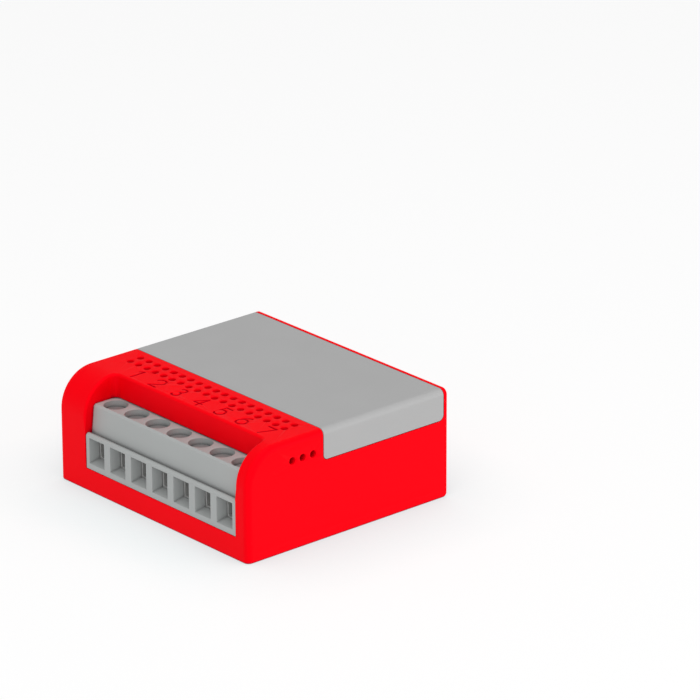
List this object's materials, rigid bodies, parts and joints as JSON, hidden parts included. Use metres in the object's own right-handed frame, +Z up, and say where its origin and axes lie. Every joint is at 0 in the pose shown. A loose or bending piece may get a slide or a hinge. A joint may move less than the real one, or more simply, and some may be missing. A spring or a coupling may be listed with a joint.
{
  "type": "smart roller shutter module",
  "caption": "Box-shaped relay module for a wall box, with a rounded nose and a row of screw terminals whose clamps rise as the screws turn.",
  "frame": {"origin": "centre of the underside of the case", "axes": "+X along the row of terminals, +Y from the terminals to the back, +Z up through the cover"},
  "size_m": [0.0444, 0.0392, 0.0175],
  "materials": {
    "red_case": "satin gloss, moulded",
    "grey_cover": "satin gloss, moulded",
    "grey_terminal": "smooth moulded polyamide",
    "screw_steel": "zinc plated",
    "clamp_steel": "nickel plated sheet",
    "tinned_copper": "tinned",
    "circuit_board": "green solder resist",
    "solder": "solder",
    "relay_plastic": "moulded black",
    "coil_wire": "enamelled copper winding",
    "ferrite": "ferrite",
    "coil_form": "yellow tape over the winding",
    "capacitor_sleeve": "shrunk sleeve",
    "blue_coating": "epoxy coated",
    "resistor_coating": "cement coated",
    "yellow_box": "moulded box",
    "black_epoxy": "moulded epoxy",
    "shield_steel": "tinned sheet",
    "copper": "copper track under gold flash",
    "chip_ceramic": "ceramic with tinned ends"
  },
  "bodies": {
    "case": {"housing": "red_case", "cover": "grey_cover", "circuit_board": "circuit_board", "solder_joints": "solder", "terminal_block": "grey_terminal", "contact_bar_1": "tinned_copper", "contact_bar_2": "tinned_copper", "contact_bar_3": "tinned_copper", "contact_bar_4": "tinned_copper", "contact_bar_5": "tinned_copper", "contact_bar_6": "tinned_copper", "contact_bar_7": "tinned_copper", "relay_up_case": "relay_plastic", "relay_up_base": "relay_plastic", "relay_up_coil": "coil_wire", "relay_down_case": "relay_plastic", "relay_down_base": "relay_plastic", "relay_down_coil": "coil_wire", "transformer_core": "ferrite", "transformer_coil": "coil_form", "input_capacitor": "capacitor_sleeve", "output_capacitor": "capacitor_sleeve", "varistor": "blue_coating", "fuse_resistor": "resistor_coating", "snubber_capacitor": "yellow_box", "bridge_rectifier": "black_epoxy", "supply_controller": "black_epoxy", "input_isolators": "black_epoxy", "radio_board": "circuit_board", "radio_shield": "shield_steel", "radio_processor": "black_epoxy", "radio_antenna": "copper", "chip_components": "chip_ceramic"},
    "screw_1": {"terminal_screw_1": "screw_steel"},
    "clamp_1": {"clamp_cage_1": "clamp_steel"},
    "screw_2": {"terminal_screw_2": "screw_steel"},
    "clamp_2": {"clamp_cage_2": "clamp_steel"},
    "screw_3": {"terminal_screw_3": "screw_steel"},
    "clamp_3": {"clamp_cage_3": "clamp_steel"},
    "screw_4": {"terminal_screw_4": "screw_steel"},
    "clamp_4": {"clamp_cage_4": "clamp_steel"},
    "screw_5": {"terminal_screw_5": "screw_steel"},
    "clamp_5": {"clamp_cage_5": "clamp_steel"},
    "screw_6": {"terminal_screw_6": "screw_steel"},
    "clamp_6": {"clamp_cage_6": "clamp_steel"},
    "screw_7": {"terminal_screw_7": "screw_steel"},
    "clamp_7": {"clamp_cage_7": "clamp_steel"}
  },
  "joints": [
    {"name": "screw_turn_1", "type": "hinge", "parent": "case", "child": "screw_1", "pos_m": [-0.0132, -0.0156, 0.0115], "axis": [0, 0, -1], "range_deg": [0, 1360.1]},
    {"name": "clamp_rise_1", "type": "slide", "parent": "case", "child": "clamp_1", "axis": [0, 0, 1], "range_m": [0, 0.0017]},
    {"name": "screw_turn_2", "type": "hinge", "parent": "case", "child": "screw_2", "pos_m": [-0.0082, -0.0156, 0.0115], "axis": [0, 0, -1], "range_deg": [0, 1360.1]},
    {"name": "clamp_rise_2", "type": "slide", "parent": "case", "child": "clamp_2", "axis": [0, 0, 1], "range_m": [0, 0.0017]},
    {"name": "screw_turn_3", "type": "hinge", "parent": "case", "child": "screw_3", "pos_m": [-0.0032, -0.0156, 0.0115], "axis": [0, 0, -1], "range_deg": [0, 1360.1]},
    {"name": "clamp_rise_3", "type": "slide", "parent": "case", "child": "clamp_3", "axis": [0, 0, 1], "range_m": [0, 0.0017]},
    {"name": "screw_turn_4", "type": "hinge", "parent": "case", "child": "screw_4", "pos_m": [0.0018, -0.0156, 0.0115], "axis": [0, 0, -1], "range_deg": [0, 1360.1]},
    {"name": "clamp_rise_4", "type": "slide", "parent": "case", "child": "clamp_4", "axis": [0, 0, 1], "range_m": [0, 0.0017]},
    {"name": "screw_turn_5", "type": "hinge", "parent": "case", "child": "screw_5", "pos_m": [0.0068, -0.0156, 0.0115], "axis": [0, 0, -1], "range_deg": [0, 1360.1]},
    {"name": "clamp_rise_5", "type": "slide", "parent": "case", "child": "clamp_5", "axis": [0, 0, 1], "range_m": [0, 0.0017]},
    {"name": "screw_turn_6", "type": "hinge", "parent": "case", "child": "screw_6", "pos_m": [0.0118, -0.0156, 0.0115], "axis": [0, 0, -1], "range_deg": [0, 1360.1]},
    {"name": "clamp_rise_6", "type": "slide", "parent": "case", "child": "clamp_6", "axis": [0, 0, 1], "range_m": [0, 0.0017]},
    {"name": "screw_turn_7", "type": "hinge", "parent": "case", "child": "screw_7", "pos_m": [0.0168, -0.0156, 0.0115], "axis": [0, 0, -1], "range_deg": [0, 1360.1]},
    {"name": "clamp_rise_7", "type": "slide", "parent": "case", "child": "clamp_7", "axis": [0, 0, 1], "range_m": [0, 0.0017]}
  ],
  "couplings": [
    {"joint": "screw_turn_1", "follows": "clamp_rise_1", "rad_per_m": 13963},
    {"joint": "screw_turn_2", "follows": "clamp_rise_2", "rad_per_m": 13963},
    {"joint": "screw_turn_3", "follows": "clamp_rise_3", "rad_per_m": 13963},
    {"joint": "screw_turn_4", "follows": "clamp_rise_4", "rad_per_m": 13963},
    {"joint": "screw_turn_5", "follows": "clamp_rise_5", "rad_per_m": 13963},
    {"joint": "screw_turn_6", "follows": "clamp_rise_6", "rad_per_m": 13963},
    {"joint": "screw_turn_7", "follows": "clamp_rise_7", "rad_per_m": 13963}
  ]
}
